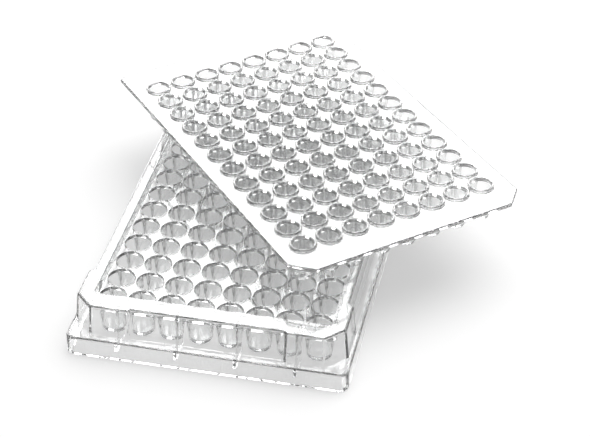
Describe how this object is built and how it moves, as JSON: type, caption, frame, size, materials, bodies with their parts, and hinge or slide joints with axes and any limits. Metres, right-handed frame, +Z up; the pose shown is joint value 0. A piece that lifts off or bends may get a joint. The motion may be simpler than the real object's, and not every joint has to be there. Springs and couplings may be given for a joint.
{
  "type": "well plate",
  "caption": "Clear microplate in two mouldings: a skirted receiver base with a grid of tapered wells, and a hanging-well insert plate lying turned across it.",
  "frame": {"origin": "centre of the base's underside, on the plane that the skirt stands on", "axes": "+X across the base's short side, +Y along its long side away from the cut corners, +Z up out of the wells"},
  "size_m": [0.1385, 0.1624, 0.0279],
  "materials": {
    "clear_base": "clear moulded polystyrene, polished",
    "clear_insert": "clear moulded polystyrene, polished, slightly hazy on the plate"
  },
  "bodies": {
    "root": {"base_plate": "clear_base", "insert_plate": "clear_insert"}
  },
  "joints": []
}
